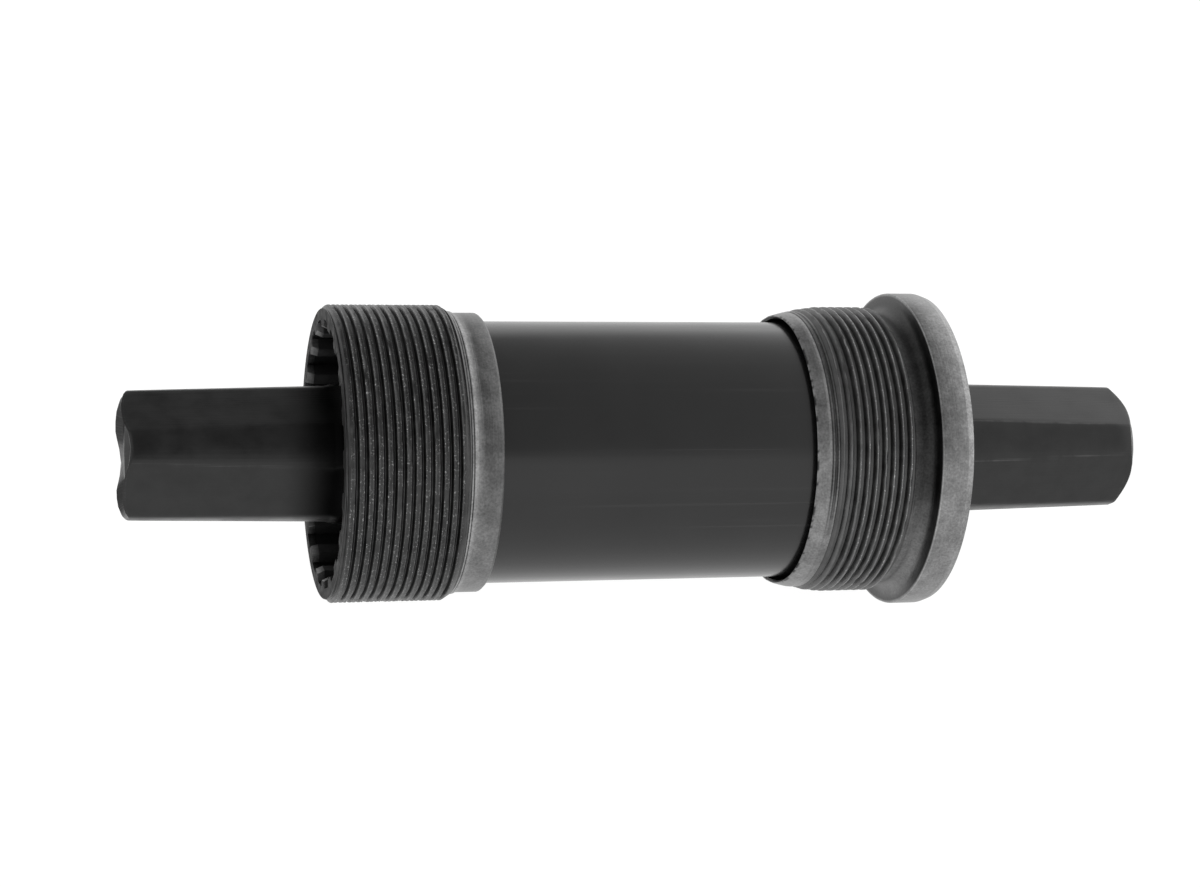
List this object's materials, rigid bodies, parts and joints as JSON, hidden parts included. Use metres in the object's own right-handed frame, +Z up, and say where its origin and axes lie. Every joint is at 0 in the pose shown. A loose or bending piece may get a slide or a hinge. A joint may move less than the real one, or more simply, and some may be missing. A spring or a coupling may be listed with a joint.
{
  "type": "bottom bracket",
  "caption": "Sealed cartridge bottom bracket: square-taper crank spindle in two bearings inside a black sleeve, with a flanged fixed cup and a loose threaded adapter cup.",
  "frame": {"origin": "on the spindle's axis, halfway between its two ends, which is also the middle of the whole part", "axes": "+X along the spindle towards the drive side, +Z up, +Y towards the front of the bicycle; at rest the spindle's flats face up, down, front and back"},
  "size_m": [0.124, 0.0382, 0.0382],
  "materials": {
    "spindle_steel": "dark phosphated steel, ground",
    "sleeve_black": "gloss black coat",
    "cup_steel": "dark turned metal",
    "spacer_steel": "drawn tube",
    "bearing_steel": "ground and polished",
    "cage_nylon": "moulded",
    "seal_rubber": "moulded nitrile",
    "ring_spring_steel": "blackened spring steel"
  },
  "bodies": {
    "cartridge": {"cartridge_sleeve": "sleeve_black", "spacer_tube": "spacer_steel", "fixed_cup": "cup_steel", "left_bearing_outer_race": "bearing_steel", "left_bearing_outboard_seal": "seal_rubber", "left_bearing_inboard_seal": "seal_rubber", "left_dust_seal": "seal_rubber", "right_bearing_outer_race": "bearing_steel", "right_bearing_outboard_seal": "seal_rubber", "right_bearing_inboard_seal": "seal_rubber", "right_dust_seal": "seal_rubber"},
    "spindle": {"spindle": "spindle_steel", "left_bearing_inner_race": "bearing_steel", "left_retaining_ring": "ring_spring_steel", "right_bearing_inner_race": "bearing_steel", "right_retaining_ring": "ring_spring_steel"},
    "left_ball_set": {"left_bearing_balls": "bearing_steel", "left_ball_cage": "cage_nylon"},
    "right_ball_set": {"right_bearing_balls": "bearing_steel", "right_ball_cage": "cage_nylon"},
    "adapter_cup": {"adapter_cup": "cup_steel"}
  },
  "joints": [
    {"name": "spindle_spin", "type": "hinge", "parent": "cartridge", "child": "spindle", "pos_m": [0, 0, 0], "axis": [1, 0, 0], "continuous": true},
    {"name": "left_ball_orbit", "type": "hinge", "parent": "cartridge", "child": "left_ball_set", "pos_m": [-0.0235, 0, 0], "axis": [1, 0, 0], "continuous": true},
    {"name": "right_ball_orbit", "type": "hinge", "parent": "cartridge", "child": "right_ball_set", "pos_m": [0.0224, 0, 0], "axis": [1, 0, 0], "continuous": true},
    {"name": "adapter_slide", "type": "slide", "parent": "cartridge", "child": "adapter_cup", "axis": [-1, 0, 0], "range_m": [0, 0.045]}
  ],
  "couplings": [
    {"joint": "left_ball_orbit", "follows": "spindle_spin", "ratio": 0.41555},
    {"joint": "right_ball_orbit", "follows": "spindle_spin", "ratio": 0.41555}
  ]
}
